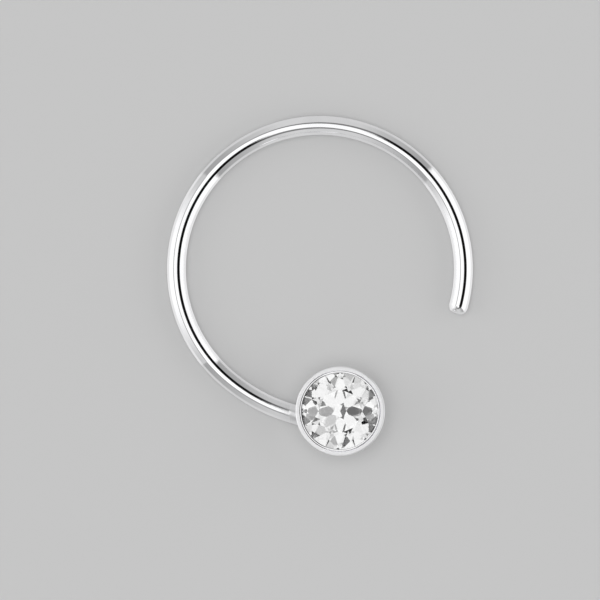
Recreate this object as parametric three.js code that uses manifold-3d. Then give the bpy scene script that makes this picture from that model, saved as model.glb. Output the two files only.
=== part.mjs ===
// A C-shaped nose stud: a round silver wire bent into an open hoop, a bezel cup soldered to one end,
// and a round brilliant-cut stone set in the cup. It lies flat, as on a table, with the stone facing up.
// Millimetres and degrees, +Z up. The origin is on the surface it lies on, under the middle of its outline.

import * as THREE from "three";
import { ConvexGeometry } from "three/addons/geometries/ConvexGeometry.js";
import { mergeVertices } from "three/addons/utils/BufferGeometryUtils.js";
import Module from "manifold-3d";

// The wire and the hoop it is bent into. Angles are counted from +X, anticlockwise seen from above.
const wireDiameter = 0.63; // 22 gauge
const hoopInnerDiameter = 9.0;
const tipAngle = -15.8; // where the domed tip begins
const tipDomeHeight = 0.21; // shallower than a half ball, so an edge shows where it begins
const seatArcAngle = 228; // from here to the cup the bend is a little more open
const seatArcOpening = 1.1; // how much larger its radius is there

// The soldered joint between the wire and the cup.
const solderReach = 0.17; // how far from the cup's wall the fillet begins
const solderSpread = 0.07; // how far the fillet stands off the wire at the wall
const wireInCup = 0.75; // how deep the wire's end goes into the cup

// The round brilliant-cut stone.
const stoneDiameter = 2.7;
const tableDiameter = 1.47; // corner to corner
const girdleThickness = 0.05;
const crownAngle = 29.5;
const pavilionAngle = 40.4;
const starLength = 0.52; // share of the way from the table's edge to the girdle
const lowerHalfLength = 0.63; // share of the way from the girdle to the culet
const stoneFolds = 8; // main facets round the stone

// The bezel cup that holds it.
const cupAngle = 278.1; // where its middle lies on the hoop
const stoneClearance = 0.02; // between the stone and the metal round it
const rimWall = 0.13; // metal outside the girdle
const lipOverlap = 0.068; // how far the lip covers the stone's edge
const lipThickness = 0.035;
const ledgeWidth = 0.08; // the lip's flat top, a step inside the rim
const ledgeDepth = 0.04; // how far it lies below the rim's top
const rimRound = 0.04; // radius of the rim's outer edge
const wallTaper = 0.12; // how much narrower the cup is at its foot, on each side
const footRound = 0.06;
const cupWall = 0.26; // wall under the stone's seat
const floorThickness = 0.2;
const culetClearance = 0.08; // between the stone's point and the cup's floor

// How finely the round forms are divided.
const wireSides = 24;
const hoopStepAngle = 3;
const domeRings = 4;
const solderRings = 12; // where the wire nears the cup
const roundSteps = 4;
const cupSides = 64;

const wireRadius = wireDiameter / 2;
const hoopRadius = hoopInnerDiameter / 2 + wireRadius; // to the middle of the wire
const stoneRadius = stoneDiameter / 2;
const recessRadius = stoneRadius + stoneClearance;
const cupRadius = recessRadius + rimWall;
const footRadius = cupRadius - wallTaper;
const radians = THREE.MathUtils.degToRad;
const slope = (angle) => Math.tan(radians(angle));
const unitAt = (angle) => new THREE.Vector2(Math.cos(angle), Math.sin(angle));

// Heights in the cup, from the surface up.
const culetHeight = floorThickness + culetClearance;
const girdleFoot = culetHeight + stoneRadius * slope(pavilionAngle);
const girdleTop = girdleFoot + girdleThickness;
const crownAtLip = girdleTop + lipOverlap * slope(crownAngle);
const lipFoot = crownAtLip + stoneClearance;
const lipTop = lipFoot + lipThickness;
const rimTop = lipTop + ledgeDepth;

const wasm = await Module();
wasm.setup();

// A closed geometry as a solid that can be joined and cut.
function solidFrom(geometry) {
  const bare = geometry.clone();
  bare.deleteAttribute("normal");
  bare.deleteAttribute("uv");
  const merged = mergeVertices(bare, 1e-4);
  return new wasm.Manifold(
    new wasm.Mesh({
      numProp: 3,
      vertProperties: new Float32Array(merged.attributes.position.array),
      triVerts: new Uint32Array(merged.index.array),
    }),
  );
}

function geometryFrom(solid) {
  const mesh = solid.getMesh();
  const geometry = new THREE.BufferGeometry();
  geometry.setAttribute("position", new THREE.BufferAttribute(mesh.vertProperties, 3));
  geometry.setIndex(new THREE.BufferAttribute(mesh.triVerts, 1));
  geometry.computeVertexNormals();
  return geometry;
}

// Points of a quarter-round or other arc in a profile, as [radius, height], from one angle to another.
function arcPoints(centreRadius, centreHeight, radius, from, to, steps) {
  return Array.from({ length: steps + 1 }, (_, i) => {
    const angle = radians(from + ((to - from) * i) / steps);
    return [centreRadius + radius * Math.cos(angle), centreHeight + radius * Math.sin(angle)];
  });
}

// A profile of [radius, height] points turned about the Y axis, and the same stood up along Z.
function lathe(profile, sides) {
  return new THREE.LatheGeometry(profile.map(([radius, height]) => new THREE.Vector2(radius, height)), sides);
}
const turned = (profile, sides) => lathe(profile, sides).rotateX(Math.PI / 2);

// The wire's centre line, seen from above: the hoop's own arc, then the more open arc that runs into
// the cup. Gives the place and the outward direction at a length from where the domed tip begins.
const hoopArcLength = hoopRadius * radians(seatArcAngle - tipAngle);
const seatArcRadius = hoopRadius + seatArcOpening;
function wireAt(length) {
  const pastHoop = Math.max(0, length - hoopArcLength);
  const hoopAngle = radians(tipAngle) + (length - pastHoop) / hoopRadius;
  const outward = unitAt(hoopAngle + pastHoop / seatArcRadius);
  const arcCentre = unitAt(hoopAngle).multiplyScalar(hoopRadius - seatArcRadius);
  return { place: arcCentre.addScaledVector(outward, seatArcRadius), outward };
}

const cupCentre = unitAt(radians(cupAngle)).multiplyScalar(hoopRadius);

// The length along the wire at which its centre line is a distance from the cup's middle.
function lengthAtCup(distance) {
  let near = hoopArcLength;
  let far = hoopArcLength + seatArcRadius * radians(cupAngle - seatArcAngle);
  while (far - near > 1e-6) {
    const middle = (near + far) / 2;
    if (wireAt(middle).place.distanceTo(cupCentre) > distance) near = middle;
    else far = middle;
  }
  return near;
}

// The cup's outer radius at a height above the surface.
const wallRadiusAt = (height) => footRadius + (wallTaper * height) / rimTop;

// Lengths along the wire: where it comes within reach of the solder, and where it ends in the cup.
const solderStart = lengthAtCup(wallRadiusAt(wireDiameter) + solderReach);
const wireEnd = lengthAtCup(wallRadiusAt(wireRadius) - wireInCup);

// Points on the side of a straight rod, as [radius, length], evenly spaced and without the first.
function rodStretch(from, to, steps) {
  return Array.from({ length: steps }, (_, i) => [wireRadius, from + ((to - from) * (i + 1)) / steps]);
}

// The wire as a straight turned rod with a domed tip.
function straightRod() {
  const domeRadius = (wireRadius ** 2 + tipDomeHeight ** 2) / (2 * tipDomeHeight);
  const domeEdge = THREE.MathUtils.radToDeg(Math.asin((domeRadius - tipDomeHeight) / domeRadius));
  const dome = arcPoints(0, domeRadius - tipDomeHeight, domeRadius, -90, -domeEdge, domeRings);
  dome[0][0] = 0;
  const plain = rodStretch(0, solderStart, Math.ceil(solderStart / (hoopRadius * radians(hoopStepAngle))));
  const soldered = rodStretch(solderStart, wireEnd, solderRings);
  return lathe([...dome, ...plain, ...soldered, [0, wireEnd]], wireSides);
}

// A point of the straight rod moved onto the bent wire.
function bentPoint(rodPoint, swell) {
  const { place, outward } = wireAt(rodPoint.y);
  place.addScaledVector(outward, rodPoint.x * swell);
  return new THREE.Vector3(place.x, place.y, Math.max(0, wireRadius + rodPoint.z * swell));
}

// The rod bent along the wire's centre line. Its skin stands further off the nearer it comes to the
// cup's wall, which is the solder's fillet, and nothing goes below the surface it lies on.
function bentWire() {
  const rod = straightRod();
  const position = rod.attributes.position;
  const rodPoint = new THREE.Vector3();
  for (let i = 0; i < position.count; i++) {
    const bare = bentPoint(rodPoint.fromBufferAttribute(position, i), 1);
    const gap = Math.hypot(bare.x - cupCentre.x, bare.y - cupCentre.y) - wallRadiusAt(bare.z);
    const nearness = THREE.MathUtils.clamp(1 - gap / solderReach, 0, 1);
    const soldered = bentPoint(rodPoint, 1 + (solderSpread / wireRadius) * nearness ** 2);
    position.setXYZ(i, soldered.x, soldered.y, soldered.z);
  }
  return rod;
}

// The cup before it is hollowed: flat foot, tapered wall and rounded rim.
function cupBlank() {
  return turned(
    [
      [0, 0],
      ...arcPoints(footRadius - footRound, footRound, footRound, -90, 0, roundSteps),
      ...arcPoints(cupRadius - rimRound, rimTop - rimRound, rimRound, 0, 90, roundSteps),
      [0, rimTop],
    ],
    cupSides,
  );
}

// What is cut out of the cup: the hollow under the stone, its seat, the girdle's recess under the lip,
// the hole that shows the stone, and the space over the lip's ledge.
function seatCutter() {
  const hollowRadius = recessRadius - cupWall;
  const seatRise = (recessRadius - hollowRadius) * slope(pavilionAngle);
  const lipRadius = stoneRadius - lipOverlap;
  const ledgeEdge = lipRadius + ledgeWidth;
  const above = rimTop + ledgeDepth;
  return turned(
    [
      [0, floorThickness],
      [hollowRadius, floorThickness],
      [hollowRadius, girdleFoot - seatRise],
      [recessRadius, girdleFoot],
      [recessRadius, girdleTop + stoneClearance],
      [lipRadius, lipFoot],
      [lipRadius, lipTop],
      [ledgeEdge, lipTop],
      [ledgeEdge, above],
      [0, above],
    ],
    cupSides,
  );
}

// Corners of the stone: points on a level circle, turned by a share of the step between them.
function ringOfPoints(radius, height, count, turn) {
  return Array.from({ length: count }, (_, i) => {
    const angle = (2 * Math.PI * (i + turn)) / count;
    return new THREE.Vector3(radius * Math.cos(angle), radius * Math.sin(angle), height);
  });
}

// The stone as the hull of its corners. Each kite facet is flat, because the height of the corner
// beside it follows from the slope of the facet's own plane.
function brilliant() {
  const tableRadius = tableDiameter / 2;
  const tableHeight = girdleTop + (stoneRadius - tableRadius) * slope(crownAngle);
  const beside = Math.cos(Math.PI / stoneFolds);
  const tableEdge = tableRadius * beside;
  const starRadius = tableEdge + starLength * (stoneRadius - tableEdge);
  const starHeight = girdleTop + (stoneRadius - starRadius * beside) * slope(crownAngle);
  const halfRadius = stoneRadius * (1 - lowerHalfLength);
  const halfHeight = girdleFoot - (stoneRadius - halfRadius * beside) * slope(pavilionAngle);
  return new ConvexGeometry([
    ...ringOfPoints(tableRadius, tableHeight, stoneFolds, 0),
    ...ringOfPoints(starRadius, starHeight, stoneFolds, 0.5),
    ...ringOfPoints(stoneRadius, girdleTop, 2 * stoneFolds, 0),
    ...ringOfPoints(stoneRadius, girdleFoot, 2 * stoneFolds, 0),
    ...ringOfPoints(halfRadius, halfHeight, stoneFolds, 0.5),
    new THREE.Vector3(0, 0, culetHeight),
  ]);
}

const silver = new THREE.MeshStandardMaterial({ color: 0xe6e7ea, roughness: 0.12, metalness: 1 });
const crystal = new THREE.MeshStandardMaterial({ color: 0xf4f6f8, roughness: 0.02, metalness: 0 });

const cup = solidFrom(cupBlank().translate(cupCentre.x, cupCentre.y, 0));
const seat = solidFrom(seatCutter().translate(cupCentre.x, cupCentre.y, 0));
const silverwork = solidFrom(bentWire()).add(cup).subtract(seat);

const hoopWithBezel = new THREE.Mesh(geometryFrom(silverwork), silver);
hoopWithBezel.name = "hoop_with_bezel";

const roundStone = new THREE.Mesh(brilliant(), crystal);
roundStone.name = "round_stone";
roundStone.position.set(cupCentre.x, cupCentre.y, 0);

const noseStud = new THREE.Group();
noseStud.add(hoopWithBezel, roundStone);
const outline = new THREE.Box3().setFromObject(noseStud);
const middle = outline.getCenter(new THREE.Vector3());
noseStud.position.set(-middle.x, -middle.y, -outline.min.z);

export default noseStud;
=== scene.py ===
# Nose stud of polished silver: round wire bent into an open hoop with a domed tip,
# a bezel cup soldered to its other end, and a round brilliant-cut stone in the cup.
# It lies flat on a pale floor and the camera looks straight down at it.
import math

import bpy
import numpy as np
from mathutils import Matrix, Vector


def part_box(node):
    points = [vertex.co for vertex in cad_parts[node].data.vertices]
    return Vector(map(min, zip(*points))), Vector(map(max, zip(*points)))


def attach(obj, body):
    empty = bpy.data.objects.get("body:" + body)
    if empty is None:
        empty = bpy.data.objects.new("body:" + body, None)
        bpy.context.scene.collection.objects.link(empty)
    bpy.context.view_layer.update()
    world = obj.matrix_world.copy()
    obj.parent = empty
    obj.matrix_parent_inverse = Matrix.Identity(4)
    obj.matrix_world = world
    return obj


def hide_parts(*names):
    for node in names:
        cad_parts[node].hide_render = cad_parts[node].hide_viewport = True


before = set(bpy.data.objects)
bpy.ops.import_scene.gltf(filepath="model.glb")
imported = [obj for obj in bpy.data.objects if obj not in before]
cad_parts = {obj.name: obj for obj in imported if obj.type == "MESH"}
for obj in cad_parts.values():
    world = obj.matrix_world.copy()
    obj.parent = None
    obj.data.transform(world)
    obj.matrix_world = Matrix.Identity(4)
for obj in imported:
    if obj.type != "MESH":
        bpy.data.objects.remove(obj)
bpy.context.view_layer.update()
mm = 0.001
print("frame loaded")

silverLow, silverHigh = (np.array(corner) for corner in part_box("hoop_with_bezel"))
stoneLow, stoneHigh = (np.array(corner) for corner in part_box("round_stone"))

# Places that follow from the frame: the hoop's outer edge touches three sides of its box,
# and the cup stands round the stone and reaches the box's front side.
hoopOuterRadius = (silverHigh[0] - silverLow[0]) / 2
hoopCentre = np.array([(silverHigh[0] + silverLow[0]) / 2, silverHigh[1] - hoopOuterRadius])
cupCentre = (stoneLow[:2] + stoneHigh[:2]) / 2
cupRadius = cupCentre[1] - silverLow[1]
stoneRadius = (stoneHigh[0] - stoneLow[0]) / 2
rimTop = silverHigh[2]


# Puts arrays of points, four-cornered faces and three-cornered faces into a new object.
def makeObject(name, points, quads, triangles, material):
    mesh = bpy.data.meshes.new(name)
    corners = np.concatenate([quads.ravel(), triangles.ravel()])
    quadStarts = np.arange(len(quads)) * 4
    triangleStarts = len(quads) * 4 + np.arange(len(triangles)) * 3
    mesh.vertices.add(len(points))
    mesh.vertices.foreach_set("co", points.ravel())
    mesh.loops.add(len(corners))
    mesh.loops.foreach_set("vertex_index", corners)
    mesh.polygons.add(len(quads) + len(triangles))
    mesh.polygons.foreach_set("loop_start", np.concatenate([quadStarts, triangleStarts]))
    mesh.polygons.foreach_set("use_smooth", np.ones(len(mesh.polygons), dtype=bool))
    mesh.update(calc_edges=True)
    mesh.materials.append(material)
    made = bpy.data.objects.new(name, mesh)
    bpy.context.scene.collection.objects.link(made)
    return made


# A closed skin through rings of points, shape (rings, points, 3), with a pole closing each end.
def skinOfRings(name, rings, material):
    ringCount, sides = rings.shape[:2]
    points = np.vstack([rings.reshape(-1, 3), rings[0].mean(0), rings[-1].mean(0)])
    index = np.arange(ringCount * sides).reshape(ringCount, sides)
    after = np.roll(index, -1, axis=1)
    quads = np.stack([index[:-1], after[:-1], after[1:], index[1:]], axis=-1).reshape(-1, 4)
    firstPole = np.full(sides, ringCount * sides)
    firstCap = np.stack([after[0], index[0], firstPole], axis=-1)
    lastCap = np.stack([index[-1], after[-1], firstPole + 1], axis=-1)
    return makeObject(name, points, quads, np.concatenate([firstCap, lastCap]), material)


# Node helpers: a new node with its settings, and a sum or other calculation of two values.
def addNode(tree, kind, inputs=None, **settings):
    node = tree.nodes.new(kind)
    for name, value in settings.items():
        setattr(node, name, value)
    for socket, value in (inputs or {}).items():
        if isinstance(value, bpy.types.NodeSocket):
            tree.links.new(value, node.inputs[socket])
        else:
            node.inputs[socket].default_value = value
    return node


def calculate(tree, operation, first, second=0.0):
    return addNode(tree, "ShaderNodeMath", {0: first, 1: second}, operation=operation).outputs[0]


# A value moved smoothly from one range to another, held at its ends.
def easeRange(tree, value, fromLow, fromHigh, toLow=0.0, toHigh=1.0):
    inputs = {"Value": value, 1: fromLow, 2: fromHigh, 3: toLow, 4: toHigh}
    node = addNode(tree, "ShaderNodeMapRange", inputs, interpolation_type="SMOOTHSTEP")
    return node.outputs["Result"]


# One value faded into another by a share.
def fade(tree, share, first, second):
    node = addNode(tree, "ShaderNodeMix", {0: share, 2: first, 3: second}, data_type="FLOAT")
    return node.outputs[0]


# Silver: a polished mirror with faint haze that comes and goes and hairline marks of the polishing
# cloth. It is duller where the solder joins the wire to the cup and on the domed tip, and its colour is
# darker there, partly a duller finish and partly painted shade. The cup's rim and wall are brushed to a
# satin outside its bright lip.
silverLook = {
    "colour": (0.94, 0.94, 0.95),
    "roughnessLow": 0.03,
    "roughnessHigh": 0.08,
    "hazeScale": 900.0,  # patches about 1 mm across
    "hazeDetail": 3.0,
    "hazeFrom": 0.3,  # the noise from which it grows rougher, and where it is roughest
    "hazeTo": 0.75,
    "tintFrom": 0.35,  # the noise from which it takes on the duller colour
    "tintTo": 0.7,
    "tintMost": 0.5,
    "hairScale": 9000.0,
    "hairDetail": 4.0,
    "hairDepth": 0.0005 * mm,
    "solderReach": 0.9,  # from the cup's wall, in millimetres
    # Painted shade in part: this darker colour by the solder and on the tip is partly a duller finish and
    # partly shade where the wire meets the cup and on the dome.
    "solderColour": (0.84, 0.84, 0.85),
    "solderRoughness": 0.3,
    # Painted shade in part: the tip's share of the darker colour dulls its dome, partly a satin finish and
    # partly shade.
    "tipDullAndShade": 0.25,
    "tipEdge": 0.01,  # millimetres over which its dullness and painted shade begin
    "tipFull": 2.0,  # how far round the tip it is full, and where it ends, in wire radii
    "tipReach": 3.0,
    "satinColour": (0.95, 0.95, 0.96),
    "satinRoughness": 0.28,
    "satinEdge": 0.01,  # millimetres over which the satin begins at the lip
}


# Distance of each point from the upright line through the stone's middle.
def distanceFromStone(tree, place):
    flat = addNode(tree, "ShaderNodeVectorMath", {0: place, 1: (1, 1, 0)}, operation="MULTIPLY")
    middle = (*cupCentre, 0)
    apart = addNode(tree, "ShaderNodeVectorMath", {0: flat.outputs[0], 1: middle}, operation="DISTANCE")
    return apart.outputs["Value"]


# The share of dullness and darker colour on the wire at each point, partly a duller finish and partly
# painted
# shade: by the solder, where the wire meets the cup, and on the dome of the tip, which is near the place
# where it begins and past the plane through it, square to the wire.
def wireDullAndShadeShare(tree, place):
    end = cupRadius + silverLook["solderReach"] * mm
    bySolder = easeRange(tree, distanceFromStone(tree, place), cupRadius, end, 1.0, 0.0)
    turn = math.radians(wire["tipAngle"])
    start = (*(hoopCentre + hoopRadius * np.array([math.cos(turn), math.sin(turn)])), 0)
    fromStart = addNode(tree, "ShaderNodeVectorMath", {0: place, 1: start}, operation="SUBTRACT").outputs[0]
    onward = (math.sin(turn), -math.cos(turn), 0)
    past = addNode(tree, "ShaderNodeVectorMath", {0: fromStart, 1: onward}, operation="DOT_PRODUCT")
    away = addNode(tree, "ShaderNodeVectorMath", {0: fromStart}, operation="LENGTH")
    edge, full, reach = silverLook["tipEdge"] * mm, silverLook["tipFull"], silverLook["tipReach"]
    beyond = easeRange(tree, past.outputs["Value"], 0.0, edge, 0.0, silverLook["tipDullAndShade"])
    near = easeRange(tree, away.outputs["Value"], full * wireRadius, reach * wireRadius, 1.0, 0.0)
    return calculate(tree, "MAXIMUM", bySolder, calculate(tree, "MULTIPLY", beyond, near))


# The share of satin on the cup: all of it outside the lip's groove.
def satinShare(tree, place):
    start = (cup["lipRadius"] + cup["ledgeWidth"]) * mm
    full = start + silverLook["satinEdge"] * mm
    return easeRange(tree, distanceFromStone(tree, place), start, full)


# Polished silver that is duller by a share of its own at each point: the cup's satin, and on the wire a
# duller finish whose darker colour is partly painted shade.
def silverFinish(name, dullAndShadeShare, dullAndShadeColour, dullRoughness):
    material = bpy.data.materials.new(name)
    material.use_nodes = True
    tree = material.node_tree
    shader = tree.nodes["Principled BSDF"]
    look = silverLook
    place = addNode(tree, "ShaderNodeTexCoord").outputs["Object"]
    haze, hair = (
        addNode(tree, "ShaderNodeTexNoise", {"Vector": place, "Scale": look[scale], "Detail": look[detail]})
        for scale, detail in (("hazeScale", "hazeDetail"), ("hairScale", "hairDetail"))
    )
    patches = haze.outputs["Fac"]
    polished = easeRange(
        tree, patches, look["hazeFrom"], look["hazeTo"], look["roughnessLow"], look["roughnessHigh"]
    )
    dulledAndShaded = dullAndShadeShare(tree, place)
    roughness = fade(tree, dulledAndShaded, polished, dullRoughness)
    tint = easeRange(tree, patches, look["tintFrom"], look["tintTo"], 0.0, look["tintMost"])
    # Painted shade in part: the colour darkens in random haze patches and, on the wire, by the solder and
    # on the tip, where it partly stands for shade.
    colour = addNode(tree, "ShaderNodeMix", {0: calculate(tree, "MAXIMUM", tint, dulledAndShaded)}, data_type="RGBA")
    colour.inputs["A"].default_value = (*look["colour"], 1)
    colour.inputs["B"].default_value = (*dullAndShadeColour, 1)
    bump = addNode(tree, "ShaderNodeBump", {"Height": hair.outputs["Fac"], "Distance": look["hairDepth"]})
    shader.inputs["Metallic"].default_value = 1.0
    tree.links.new(colour.outputs["Result"], shader.inputs["Base Color"])
    tree.links.new(roughness, shader.inputs["Roughness"])
    tree.links.new(bump.outputs["Normal"], shader.inputs["Normal"])
    return material


# Cut zirconia: clear, with a faint polishing haze on its facets.
stoneLook = {
    "colour": (1.0, 1.0, 1.0),
    "refraction": 2.14,
    "hazeScale": 4000.0,
    "hazeFrom": 0.45,  # the noise from which it grows rougher, and where it is roughest
    "hazeTo": 0.8,
    "roughnessHigh": 0.012,
}


def cutZirconia():
    material = bpy.data.materials.new("cut_zirconia")
    material.use_nodes = True
    tree = material.node_tree
    shader = tree.nodes["Principled BSDF"]
    place = addNode(tree, "ShaderNodeTexCoord").outputs["Object"]
    look = stoneLook
    haze = addNode(tree, "ShaderNodeTexNoise", {"Vector": place, "Scale": look["hazeScale"]})
    patches = haze.outputs["Fac"]
    roughness = easeRange(tree, patches, look["hazeFrom"], look["hazeTo"], 0.0, look["roughnessHigh"])
    shader.inputs["Base Color"].default_value = (*look["colour"], 1)
    shader.inputs["IOR"].default_value = look["refraction"]
    shader.inputs["Transmission Weight"].default_value = 1.0
    tree.links.new(roughness, shader.inputs["Roughness"])
    return material


zirconia = cutZirconia()

# The wire. Lengths in millimetres, angles in degrees anticlockwise from +X.
wire = {
    "radius": 0.315,
    "tipAngle": -15.3,  # where the domed tip begins
    "domeHeight": 0.23,
    "domeTaper": 0.19,  # narrows it from its edge on, where a crease shows
    "domePower": 3.5,  # 2 is half an ellipse, and more is flatter at the end
    "seatArcAngle": 228.0,  # from here on the bend is more open
    "seatArcOpening": 1.1,
    "endInCup": 0.20,  # how far the end goes into the cup's wall
    "solderLength": 0.28,  # solder drawn up from the wire's top to the cup's wall
    "solderRise": 0.082,
    "solderPower": 1.2,  # 1 is a straight ramp
    "solderAside": 0.12,  # the share of the rise at the wire's sides
    "sides": 72,
    "domeRings": 24,
    "lastDomeRing": 0.98,  # how far towards its end, where a pole closes it
    "hoopRings": 360,
    "solderRings": 90,
    "solderRingsFrom": 1.2,  # how far before the cup's wall they begin, in lengths of solder
    "searchReach": 1.2,  # for the place where it meets the cup: so many hoop radii on, in so many steps
    "searchSteps": 20000,
    "sharpAngle": 15.0,  # edges that bend more are kept sharp
}

# The bezel cup. Lengths in millimetres, angles in degrees.
cup = {
    "wallTaper": 0.12,  # narrower at the foot, on each side
    "footRound": 0.06,
    "rimRound": 0.03,
    "edgeRound": 0.005,
    "roundSupport": 0.4,  # how far outside a rounding its supporting points lie, in its radii
    "ledgeWidth": 0.08,  # the lip's top, a step inside the rim
    "ledgeDepth": 0.04,
    "lipCrown": 0.007,  # how much its middle stands above its edges
    "grooveWidth": 0.012,  # between the rim and the lip
    "grooveDepth": 0.03,
    "lipRadius": 1.282,
    "lipThickness": 0.035,
    "recessClearance": 0.02,  # round the girdle
    "recessDepth": 0.113,  # from the rim's top to the girdle's top
    "seatDepth": 0.183,  # from the rim's top to the foot of the girdle
    "seatAngle": 40.4,
    "wall": 0.26,  # from the recess to the hollow under the stone
    "floor": 0.2,
    "poleRadius": 0.02,  # of the small rings that a pole closes, under the floor and on top of it
    "sides": 288,
    "roundSteps": 8,
    "crownSteps": 12,
    "sharpAngle": 40.0,
}
wireRadius = wire["radius"] * mm
hoopRadius = hoopOuterRadius - wireRadius
footRadius = cupRadius - cup["wallTaper"] * mm


# The cup's outer radius at a height: from the foot's radius to the rim's, in a straight line.
def wallRadiusAt(height):
    return footRadius + (cupRadius - footRadius) * height / rimTop


# The wire's middle line at lengths from the tip's edge, and its outward direction there: the hoop's
# arc, then an arc of larger radius that leaves it without a corner.
def wireLine(lengths):
    tip, seat = (math.radians(wire[name]) for name in ("tipAngle", "seatArcAngle"))
    seatArcRadius = hoopRadius + wire["seatArcOpening"] * mm
    pastHoop = np.maximum(0, lengths - hoopRadius * (seat - tip))
    hoopAngle = tip + (lengths - pastHoop) / hoopRadius
    angle = hoopAngle + pastHoop / seatArcRadius
    outward = np.stack([np.cos(angle), np.sin(angle)], axis=-1)
    arcCentre = np.stack([np.cos(hoopAngle), np.sin(hoopAngle)], axis=-1) * (hoopRadius - seatArcRadius)
    return hoopCentre + arcCentre + outward * seatArcRadius, outward


# The length at which the wire's middle line is a distance from the cup's middle, on its way in.
def lengthAtCup(distance):
    hoopLength = hoopRadius * math.radians(wire["seatArcAngle"] - wire["tipAngle"])
    lengths = hoopLength + np.linspace(0, wire["searchReach"] * hoopRadius, wire["searchSteps"])
    gaps = np.linalg.norm(wireLine(lengths)[0] - cupCentre, axis=-1) - distance
    return lengths[np.argmax(gaps < 0)]


# Points of the wire's skin: the middle line, plus a circle in the plane of "up" and the outward
# direction, with the radius of its ring and the swell of each point.
def wireSkin(lengths, radii, swell):
    angles = np.arange(wire["sides"]) * 2 * math.pi / wire["sides"]
    line, outward = wireLine(lengths)
    reach = radii[:, None] + swell
    aside = reach * np.cos(angles)
    up = wireRadius + reach * np.sin(angles)
    flat = line[:, None, :] + outward[:, None, :] * aside[..., None]
    return np.concatenate([flat, np.maximum(up, 0)[..., None]], axis=-1)


# The wire: the dome is half of a superellipse that also tapers, and its rings run from the tip's end
# to the dome's edge. Evenly spread rings follow, closer together near the solder. The solder swells the
# skin in a ramp: its rise times a power of the nearness of the cup's wall, full on top of the wire and
# less at its sides.
def hoopWire():
    dome, radius = wire["domeHeight"] * mm, wireRadius
    turn = np.linspace(wire["lastDomeRing"], 0, wire["domeRings"]) * math.pi / 2
    along, aside = (wave(turn) ** (2 / wire["domePower"]) for wave in (np.sin, np.cos))
    solderLength = wire["solderLength"] * mm
    solderStart = lengthAtCup(wallRadiusAt(2 * radius) + wire["solderRingsFrom"] * solderLength)
    end = lengthAtCup(wallRadiusAt(radius) - wire["endInCup"] * mm)
    lengths = np.concatenate([
        -dome * along,
        np.linspace(0, solderStart, wire["hoopRings"])[1:],
        np.linspace(solderStart, end, wire["solderRings"])[1:],
    ])
    radii = np.full(len(lengths), radius)
    radii[:len(turn)] = radius * (1 - wire["domeTaper"] * along) * aside
    bare = wireSkin(lengths, radii, 0)
    gap = np.linalg.norm(bare[..., :2] - cupCentre, axis=-1) - wallRadiusAt(bare[..., 2])
    nearness = np.clip(1 - gap / solderLength, 0, 1)
    upward = np.clip(np.sin(np.arange(wire["sides"]) * 2 * math.pi / wire["sides"]), 0, 1) ** 2
    share = wire["solderAside"] + (1 - wire["solderAside"]) * upward
    swell = wire["solderRise"] * mm * share * nearness ** wire["solderPower"]
    rings = wireSkin(lengths, radii, swell)
    return skinOfRings("hoop_wire", rings[:, ::-1], wireSilver)


# A profile with its corners rounded: each corner gives way to an arc that touches both its sides. One
# more point on each side, close to the arc, keeps the flat between two arcs flat in its shading.
def roundedProfile(corners, radii, steps):
    points = [np.array(corners[0])]
    for before, corner, after, radius in zip(corners, corners[1:], corners[2:], radii):
        before, corner, after = (np.array(p, dtype=float) for p in (before, corner, after))
        inward, onward = before - corner, after - corner
        inwardUnit, onwardUnit = inward / np.linalg.norm(inward), onward / np.linalg.norm(onward)
        half = math.acos(inwardUnit @ onwardUnit) / 2
        middle = (inwardUnit + onwardUnit) / np.linalg.norm(inwardUnit + onwardUnit)
        centre = corner + middle * radius / math.sin(half)
        touching = radius / math.tan(half)
        start, finish = (corner + unit * touching - centre for unit in (inwardUnit, onwardUnit))
        turn = math.atan2(start[0] * finish[1] - start[1] * finish[0], start @ finish)
        angles = turn * np.arange(steps + 1)[:, None] / steps
        across = np.array([-start[1], start[0]])
        arc = centre + start * np.cos(angles) + across * np.sin(angles)
        support = cup["roundSupport"] * radius
        points.extend([arc[0] + inwardUnit * support, *arc, arc[-1] + onwardUnit * support])
    points.append(np.array(corners[-1]))
    return np.array(points)


# The cup: its profile of radius and height, from under the foot, up the wall, over the rim, down into
# the groove, over the crowned lip, down the seat and the hollow, turned about the upright line
# through the stone's middle. The lip's top is a shallow parabola across its width.
def bezelCup():
    size = {name: value * mm for name, value in cup.items()}
    lipRadius = size["lipRadius"]
    ledgeEdge = lipRadius + size["ledgeWidth"]
    lipEdge = ledgeEdge - size["grooveWidth"]
    lipTop = rimTop - size["ledgeDepth"]
    recessRadius = stoneRadius + size["recessClearance"]
    hollowRadius = recessRadius - size["wall"]
    seatFoot = rimTop - size["seatDepth"]
    hollowTop = seatFoot - size["wall"] * math.tan(math.radians(cup["seatAngle"]))
    outside = [
        (size["poleRadius"], 0),
        (footRadius, 0),
        (cupRadius, rimTop),
        (ledgeEdge, rimTop),
        (ledgeEdge, lipTop - size["grooveDepth"]),
    ]
    inside = [
        (lipRadius, lipTop - size["lipThickness"]),
        (recessRadius, rimTop - size["recessDepth"]),
        (recessRadius, seatFoot),
        (hollowRadius, hollowTop),
        (hollowRadius, size["floor"]),
        (size["poleRadius"], size["floor"]),
    ]
    radii = [size["footRound"], size["rimRound"], size["edgeRound"]]
    across = np.linspace(1, -1, cup["crownSteps"] + 1)
    crownRadius = (lipEdge + lipRadius) / 2 + across * (lipEdge - lipRadius) / 2
    crown = np.stack([crownRadius, lipTop - size["lipCrown"] * across ** 2], axis=-1)
    profile = np.vstack([roundedProfile(outside, radii, cup["roundSteps"]), crown, inside])
    angles = np.arange(cup["sides"]) * 2 * math.pi / cup["sides"]
    flat = cupCentre + profile[:, None, :1] * np.stack([np.cos(angles), np.sin(angles)], axis=-1)
    heights = np.broadcast_to(profile[:, None, 1:], (*flat.shape[:2], 1))
    return skinOfRings("bezel_cup", np.concatenate([flat, heights], axis=-1), cupSilver)


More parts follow.
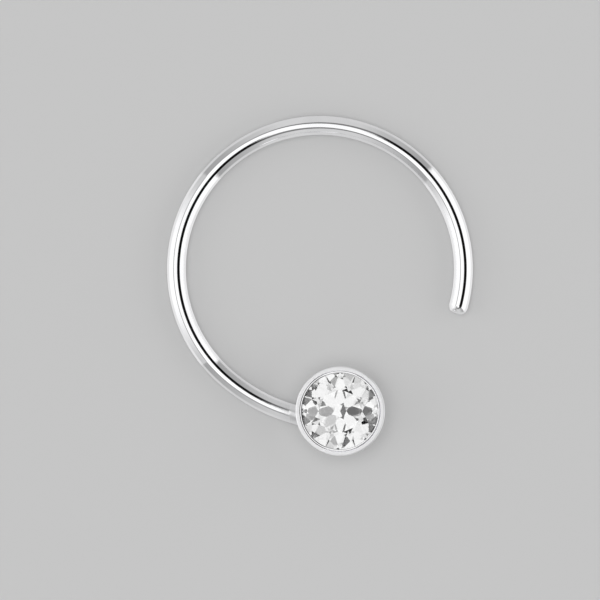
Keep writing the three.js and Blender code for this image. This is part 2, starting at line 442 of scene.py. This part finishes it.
# On the wire the duller colour is partly painted shade at the joint and on the tip; on the cup it is the
# satin's own.
wireSilver, cupSilver = (
    silverFinish(name, share, silverLook[kind + "Colour"], silverLook[kind + "Roughness"])
    for name, share, kind in (("wire_silver", wireDullAndShadeShare, "solder"), ("cup_silver", satinShare, "satin"))
)
print("materials made")

hoop = hoopWire()
bezel = bezelCup()
for piece, values in ((hoop, wire), (bezel, cup)):
    piece.data.set_sharp_from_angle(angle=math.radians(values["sharpAngle"]))
    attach(piece, "root")
    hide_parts("hoop_with_bezel")
print("hoop and cup made")

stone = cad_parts["round_stone"]
stone.data.materials.clear()
stone.data.materials.append(zirconia)
print("stone finished")

# The studio as the object sees it. Angles are in degrees, from straight up or round from +X.
# For the silver: a white ceiling and side walls, grey end walls, and one dark flag beside the middle
# of the ceiling. For light that has come through the stone: a white tent with a dark wall at its back
# and dark flags hung in it.
studio = {
    "white": 1.1,
    "endCeilingFront": 17.0,  # towards the end walls the ceiling ends here, in a darker trim
    "endCeilingBack": 36.0,
    "endCeilingFrontTurn": 60.0,  # it ends at the first up to this turn, and at the second from the next
    "endCeilingBackTurn": 150.0,
    "endTrimTo": 39.0,
    "endTrim": 0.22,
    "sideTrimFrom": 31.0,  # towards the back wall there is one thin darker line
    "sideTrimTo": 39.0,
    "sideTrim": 0.36,
    "sideTrimSoft": 1.25,
    "endWallMiddle": 0.68,
    "endWallCorner": 0.38,
    "endWallEven": 8.0,  # as far as this from its middle it is as bright as there
    "frontCorner": 42.0,
    "backCorner": 141.0,
    "cornerSoft": 1.0,
    "backWallCorner": 0.62,  # the back wall grows brighter from its corners
    "backWallEven": 24.0,
    "flagNear": 7.5,
    "flagFar": 42.0,
    "flagTurn": 66.0,  # how far round from +X it reaches, on both sides
    "flagTurnSoft": 5.0,
    "flagNearBow": 3.0,  # how much nearer each edge comes towards its ends
    "flagFarBow": 14.0,
    "flagLevel": 0.006,
    "belowSides": 0.86,  # the white sheet under the object, as polished metal mirrors it
    "belowEnds": 0.68,
    "belowFrom": 95.0,
    "belowTo": 110.0,
    "soft": 2.5,
}
tent = {
    "white": 1.0,
    "backWall": 0.04,
    "backWallFrom": 38.0,
    "backWallTo": 54.0,
    "backWallSoft": 2.0,
    "backWallTurn": 115.0,  # it stands between this turn and the same on the other side
    "backWallTurnSoft": 4.0,
    "soft": 1.5,
    "flags": [  # turn, distance from straight up, radius, darkness
        (180, 6, 2.5, 1.0),
        (180, 12, 2.5, 1.0),
        (0, 5, 2, 0.68),
        (0, 10.5, 2.5, 0.8),
        (45, 6, 2, 0.42),
        (315, 10, 2.5, 0.8),
        (190, 18, 5, 1.0),
        (2, 17, 5, 0.65),
        (90, 17, 4, 0.72),
        (127, 17, 2.5, 0.25),
        (323, 17, 3, 0.25),
        (32, 23, 3, 0.2),
        (247, 25, 6, 1.0),
        (258, 31, 3, 0.8),
        (64, 27, 5.5, 0.97),
        (116, 26, 5, 0.92),
        (112, 20, 3, 1.0),
        (148, 27, 2.5, 0.9),
        (337, 25, 5, 0.35),
        (289, 27, 3.5, 0.25),
        (68, 43, 8, 0.85),
        (283, 43, 4, 1.0),
    ],
}


# Shares that fade across an edge, over a softness on each side of it: from 0 to 1, from 1 to 0, and
# both in turn at two edges.
def pastEdge(tree, value, edge, soft):
    return easeRange(tree, value, edge - soft, edge + soft)


def beforeEdge(tree, value, edge, soft):
    return easeRange(tree, value, edge - soft, edge + soft, 1.0, 0.0)


def between(tree, value, low, high, soft):
    rise, fall = pastEdge(tree, value, low, soft), beforeEdge(tree, value, high, soft)
    return calculate(tree, "MULTIPLY", rise, fall)


# The brightness that the silver sees in each direction.
def roomForSilver(tree, fromTop, fromRight):
    soft, white = studio["soft"], studio["white"]
    cornerSoft, sideSoft = studio["cornerSoft"], studio["sideTrimSoft"]
    front, back = studio["frontCorner"], studio["backCorner"]
    halfWall, evenHalf = (back - front) / 2, studio["endWallEven"]

    # The walls: an end wall between its two corners, and the back wall past the second of them.
    offMiddle = calculate(tree, "ABSOLUTE", calculate(tree, "SUBTRACT", fromRight, (front + back) / 2))
    endWall = easeRange(
        tree, offMiddle, evenHalf, halfWall, studio["endWallMiddle"], studio["endWallCorner"]
    )
    inEndWall = beforeEdge(tree, offMiddle, halfWall, cornerSoft)
    inBackWall = pastEdge(tree, fromRight, back, cornerSoft)
    evenFrom = back + studio["backWallEven"]
    backWall = easeRange(tree, fromRight, back, evenFrom, studio["backWallCorner"], white)
    sideTrim = between(tree, fromTop, studio["sideTrimFrom"], studio["sideTrimTo"], sideSoft)
    trimmedBack = fade(tree, sideTrim, backWall, studio["sideTrim"])
    sideWalls = fade(tree, inBackWall, white, trimmedBack)
    pastTrim = pastEdge(tree, fromTop, studio["endTrimTo"], soft)
    trimmedEnd = fade(tree, pastTrim, studio["endTrim"], endWall)

    # The ceiling over them, which reaches farther down towards the back.
    frontTurn, backTurn = studio["endCeilingFrontTurn"], studio["endCeilingBackTurn"]
    ceilingEnd = easeRange(
        tree, fromRight, frontTurn, backTurn, studio["endCeilingFront"], studio["endCeilingBack"]
    )
    pastEnd = calculate(tree, "SUBTRACT", fromTop, ceilingEnd)
    atEnd = calculate(tree, "MULTIPLY", inEndWall, pastEdge(tree, pastEnd, 0.0, soft))
    pastCeiling = pastEdge(tree, fromTop, studio["sideTrimFrom"], sideSoft)
    room = fade(tree, atEnd, fade(tree, pastCeiling, white, sideWalls), trimmedEnd)

    # The dark flag, with its two edges bowed, and then what is under the object.
    bow = calculate(tree, "SUBTRACT", 1.0, calculate(tree, "COSINE", calculate(tree, "RADIANS", fromRight)))
    nearEdge, farEdge = (
        calculate(tree, "SUBTRACT", studio[name], calculate(tree, "MULTIPLY", bow, studio[name + "Bow"]))
        for name in ("flagNear", "flagFar")
    )
    pastNear = calculate(tree, "SUBTRACT", fromTop, nearEdge)
    pastFar = calculate(tree, "SUBTRACT", fromTop, farEdge)
    flagOut = calculate(
        tree, "MULTIPLY", pastEdge(tree, pastNear, 0.0, soft), beforeEdge(tree, pastFar, 0.0, soft)
    )
    flagAround = beforeEdge(tree, fromRight, studio["flagTurn"], studio["flagTurnSoft"])
    flag = calculate(tree, "MULTIPLY", flagOut, flagAround)
    above = fade(tree, flag, room, studio["flagLevel"])
    below = fade(tree, inEndWall, studio["belowSides"], studio["belowEnds"])
    return fade(tree, easeRange(tree, fromTop, studio["belowFrom"], studio["belowTo"]), above, below)


# The brightness that the stone gathers from each direction: the white tent, a dark back wall low in it
# and each flag's share of shade.
def tentForStone(tree, direction, fromTop, fromRight):
    wallOut = between(tree, fromTop, tent["backWallFrom"], tent["backWallTo"], tent["backWallSoft"])
    wallAround = pastEdge(tree, fromRight, tent["backWallTurn"], tent["backWallTurnSoft"])
    onWall = calculate(tree, "MULTIPLY", wallOut, wallAround)
    light = fade(tree, onWall, tent["white"], tent["backWall"])
    for turn, away, radius, dark in tent["flags"]:
        turned, out = math.radians(turn), math.radians(away)
        middle = (math.sin(out) * math.cos(turned), math.sin(out) * math.sin(turned), math.cos(out))
        facing = addNode(tree, "ShaderNodeVectorMath", {0: direction, 1: middle}, operation="DOT_PRODUCT")
        inner, outer = (math.cos(math.radians(radius + side * tent["soft"])) for side in (-1, 1))
        shade = easeRange(tree, facing.outputs["Value"], outer, inner, 1.0, 1.0 - dark)
        light = calculate(tree, "MULTIPLY", light, shade)
    return light


def studioWorld():
    world = bpy.data.worlds.new("studio")
    bpy.context.scene.world = world
    world.use_nodes = True
    tree = world.node_tree
    direction = addNode(tree, "ShaderNodeTexCoord").outputs["Generated"]
    axes = addNode(tree, "ShaderNodeSeparateXYZ", {0: direction}).outputs
    fromTop = calculate(tree, "DEGREES", calculate(tree, "ARCCOSINE", axes["Z"]))
    sideways = calculate(tree, "ARCTAN2", calculate(tree, "ABSOLUTE", axes["Y"]), axes["X"])
    fromRight = calculate(tree, "DEGREES", sideways)
    room = roomForSilver(tree, fromTop, fromRight)
    gathered = tentForStone(tree, direction, fromTop, fromRight)
    throughStone = addNode(tree, "ShaderNodeLightPath").outputs["Is Transmission Ray"]
    background = tree.nodes["Background"].inputs
    background["Color"].default_value = (1, 1, 1, 1)
    tree.links.new(fade(tree, throughStone, room, gathered), background["Strength"])


# Light that brightens the floor and shows in no reflection.
fill = {"strength": 0.9, "angle": 40.0}


def fillLight():
    data = bpy.data.lights.new("fill", "SUN")
    data.energy = fill["strength"]
    data.angle = math.radians(fill["angle"])
    lamp = bpy.data.objects.new("fill", data)
    lamp.visible_glossy = False
    lamp.visible_transmission = False
    bpy.context.scene.collection.objects.link(lamp)


studioWorld()
fillLight()
print("studio lit")

floorLook = {
    "colour": (0.60, 0.60, 0.60),
    "roughness": 0.7,
    "halfWidth": 1.5,  # in metres
    "gap": 0.001 * mm,
}


# A plain pale floor, just under what lies on it. Polished metal mirrors the studio's white sheet
# in its place.
def paleFloor():
    material = bpy.data.materials.new("pale_floor")
    material.use_nodes = True
    shader = material.node_tree.nodes["Principled BSDF"]
    shader.inputs["Base Color"].default_value = (*floorLook["colour"], 1)
    shader.inputs["Roughness"].default_value = floorLook["roughness"]
    half, height = floorLook["halfWidth"], -floorLook["gap"]
    corners = [(-half, -half), (half, -half), (half, half), (-half, half)]
    points = np.array([(x, y, height) for x, y in corners])
    floor = makeObject("floor", points, np.array([[0, 1, 2, 3]]), np.empty((0, 3), dtype=int), material)
    floor.visible_glossy = False


paleFloor()

# The camera looks straight down through a long lens, at a point a little left of and below the
# middle of the hoop, and the frame is this much wide at the floor.
view = {
    "lens": 1500.0,
    "sensor": 36.0,
    "frameWidth": 20.13,
    "asideOfHoop": (-0.668, -1.044),
    "clipNear": 0.001,  # in metres
    "clipFar": 10.0,
}


def topCamera():
    data = bpy.data.cameras.new("camera")
    data.lens = view["lens"]
    data.sensor_width = view["sensor"]
    data.clip_start = view["clipNear"]
    data.clip_end = view["clipFar"]
    camera = bpy.data.objects.new("camera", data)
    bpy.context.scene.collection.objects.link(camera)
    distance = view["frameWidth"] * mm * view["lens"] / view["sensor"]
    target = hoopCentre + np.array(view["asideOfHoop"]) * mm
    camera.location = (*target, distance + wireRadius)
    bpy.context.scene.camera = camera


topCamera()

# Enough bounces for light that goes back and forth in the stone.
bounces = {"max_bounces": 24, "transmission_bounces": 24, "glossy_bounces": 8}
scene = bpy.context.scene
scene.view_settings.view_transform = "Standard"
for name, count in bounces.items():
    setattr(scene.cycles, name, count)
print("camera placed")
